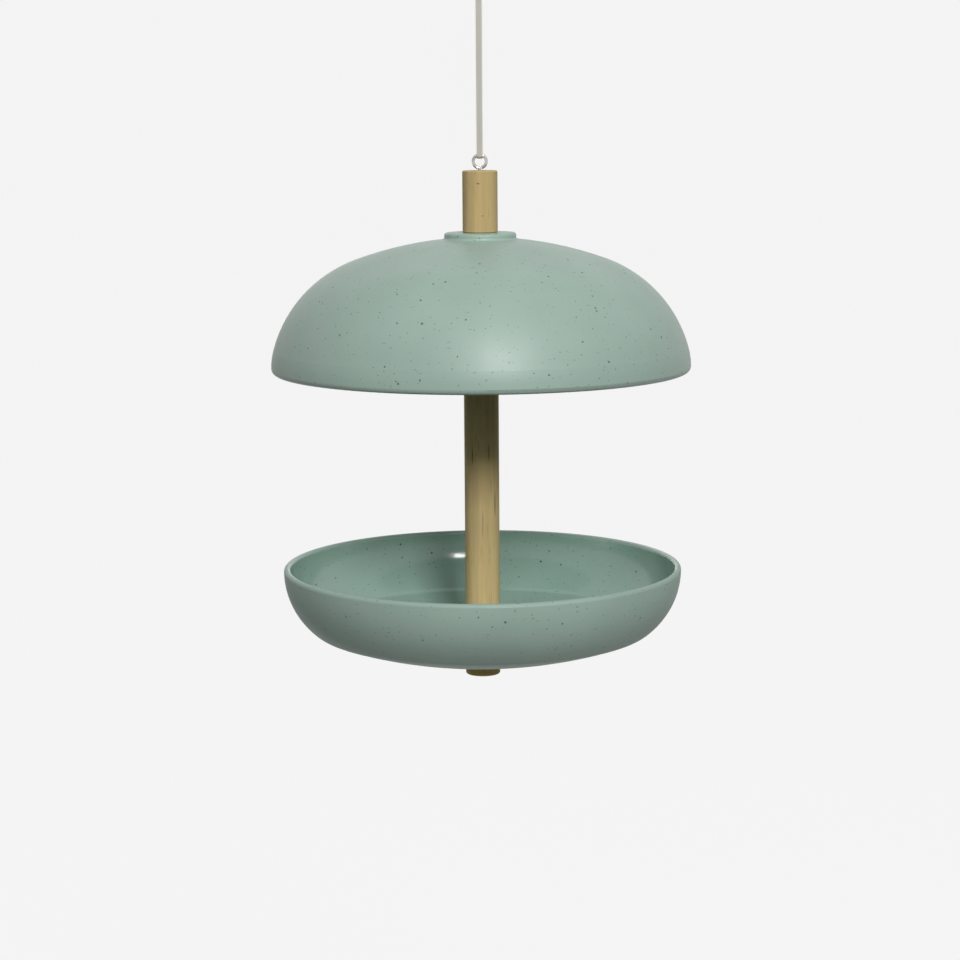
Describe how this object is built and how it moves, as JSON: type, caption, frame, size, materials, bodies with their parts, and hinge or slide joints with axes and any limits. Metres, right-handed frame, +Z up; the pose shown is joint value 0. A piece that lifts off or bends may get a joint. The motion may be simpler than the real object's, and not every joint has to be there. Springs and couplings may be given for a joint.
{
  "type": "hanging bird feeder",
  "caption": "Hanging bird feeder: a domed roof and a wide open feeding bowl on one wooden dowel, with a wooden foot that unscrews to free the bowl, hung from a cord.",
  "frame": {"origin": "top inside of the cord's loop, where a hook or branch carries it", "axes": "+Z up along the dowel, +X to the right seen from the front, -Y towards the viewer"},
  "size_m": [0.24, 0.24, 0.4152],
  "materials": {
    "cord": "flat woven cotton cord",
    "plated_steel": "bright nickel-plated wire",
    "dowel": "plain beech dowel, lightly sanded",
    "shell": "sage green with fine dark flecks",
    "zinc_steel": "zinc-plated thread",
    "brass": "turned brass",
    "rubber": "matt black rubber"
  },
  "bodies": {
    "hanger": {"hanging_cord": "cord", "cord_knot": "cord"},
    "pole": {"screw_eye": "plated_steel", "top_grip": "dowel", "grip_insert": "brass", "roof_stud": "zinc_steel", "roof": "shell", "roof_washer": "rubber", "post": "dowel", "bowl_stud": "zinc_steel"},
    "dish": {"bowl": "shell", "bowl_washer": "rubber"},
    "foot": {"foot_knob": "dowel", "foot_insert": "brass"}
  },
  "joints": [
    {"name": "swing", "type": "hinge", "parent": "hanger", "child": "pole", "pos_m": [0, 0, -0.098], "axis": [1, 0, 0], "range_deg": [-90, 90]},
    {"name": "bowl_lower", "type": "slide", "parent": "pole", "child": "dish", "axis": [0, 0, -1], "range_m": [0, 0.006]},
    {"name": "foot_turn", "type": "hinge", "parent": "dish", "child": "foot", "pos_m": [0, 0, -0.39], "axis": [0, 0, -1], "range_deg": [0, 2161]}
  ],
  "couplings": [
    {"joint": "foot_turn", "follows": "bowl_lower", "rad_per_m": 6283.2}
  ]
}
